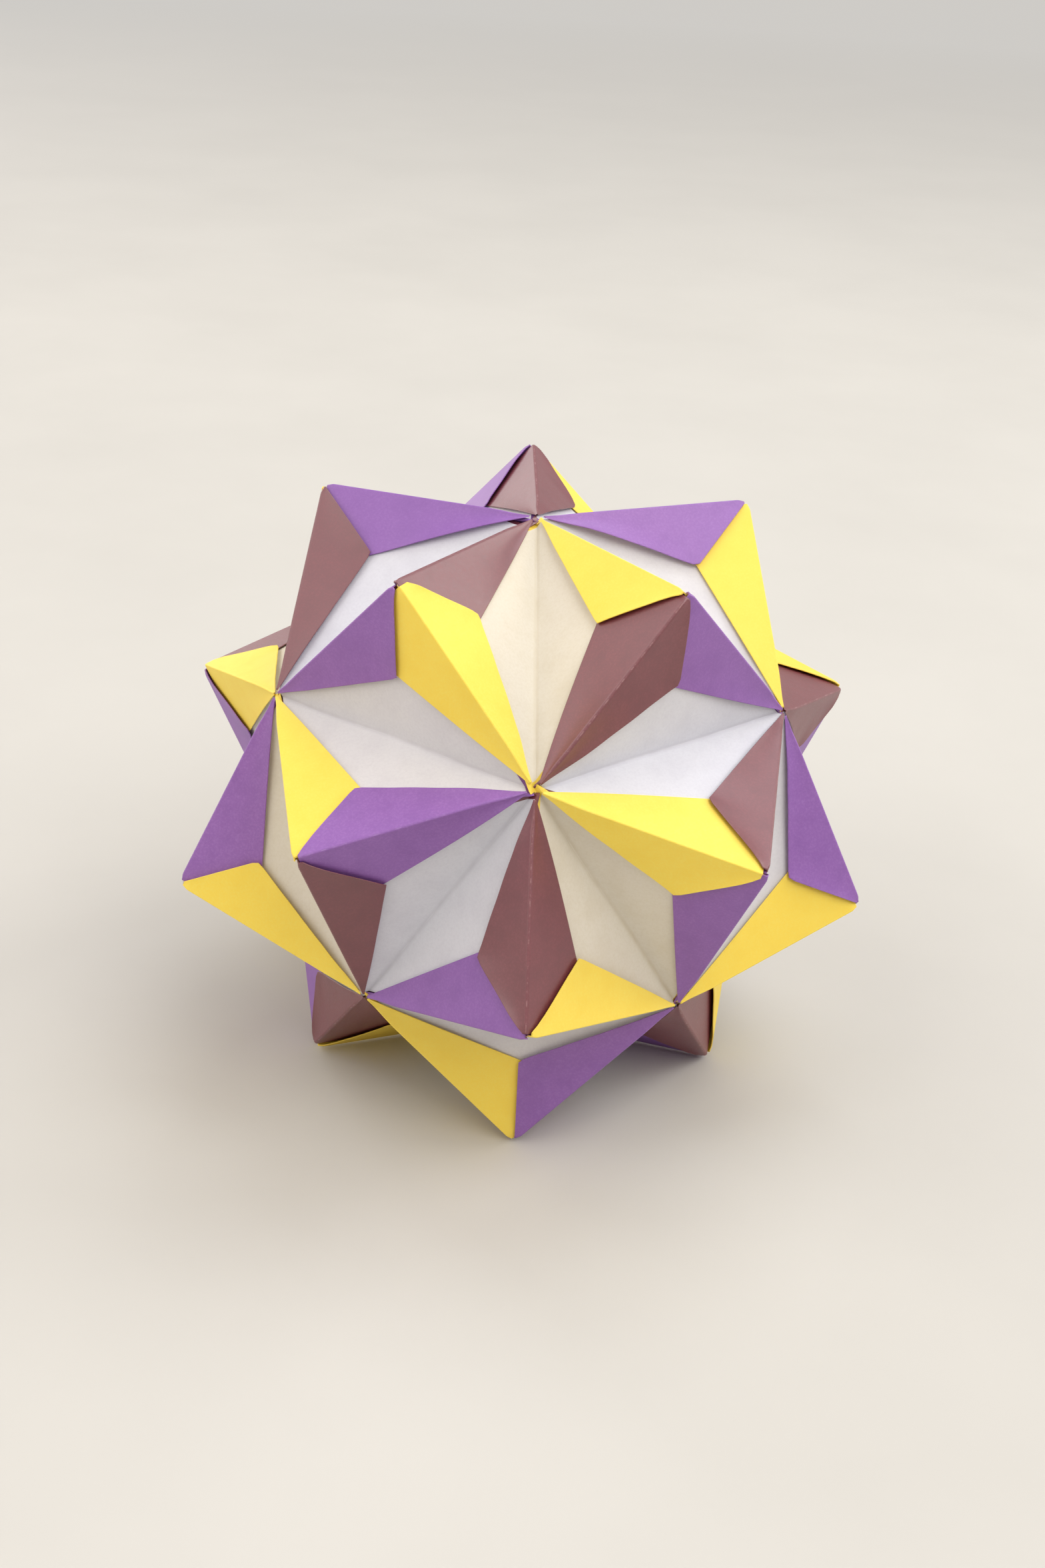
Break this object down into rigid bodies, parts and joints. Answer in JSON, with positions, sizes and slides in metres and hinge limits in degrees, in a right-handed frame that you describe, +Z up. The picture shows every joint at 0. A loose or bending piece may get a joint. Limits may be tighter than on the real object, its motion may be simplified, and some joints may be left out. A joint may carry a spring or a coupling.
{
  "type": "kusudama paper ball",
  "caption": "Modular origami ball of interlocked folded paper units: a pyramid on every face of an icosahedron, with coloured kites over the ridges and pale petals in the valleys.",
  "frame": {"origin": "on the surface that the ball stands on, below its middle, level with the five lowest tips", "axes": "+Z up along the five-fold axis through the top and bottom corners, -Y towards the front corner"},
  "size_m": [0.1134, 0.119, 0.097],
  "materials": {
    "yellow_paper": "matte uncoated paper, yellow on one side and cream on the other",
    "purple_paper": "matte uncoated paper, purple on one side and bluish white on the other",
    "brown_paper": "matte uncoated paper, red-brown on one side and greyish white on the other"
  },
  "bodies": {
    "root": {"yellow_unit_01": "yellow_paper", "yellow_unit_02": "yellow_paper", "yellow_unit_03": "yellow_paper", "yellow_unit_04": "yellow_paper", "yellow_unit_05": "yellow_paper", "yellow_unit_06": "yellow_paper", "yellow_unit_07": "yellow_paper", "yellow_unit_08": "yellow_paper", "yellow_unit_09": "yellow_paper", "yellow_unit_10": "yellow_paper", "purple_unit_01": "purple_paper", "purple_unit_02": "purple_paper", "purple_unit_03": "purple_paper", "purple_unit_04": "purple_paper", "purple_unit_05": "purple_paper", "purple_unit_06": "purple_paper", "purple_unit_07": "purple_paper", "purple_unit_08": "purple_paper", "purple_unit_09": "purple_paper", "purple_unit_10": "purple_paper", "brown_unit_01": "brown_paper", "brown_unit_02": "brown_paper", "brown_unit_03": "brown_paper", "brown_unit_04": "brown_paper", "brown_unit_05": "brown_paper", "brown_unit_06": "brown_paper", "brown_unit_07": "brown_paper", "brown_unit_08": "brown_paper", "brown_unit_09": "brown_paper", "brown_unit_10": "brown_paper"}
  },
  "joints": []
}
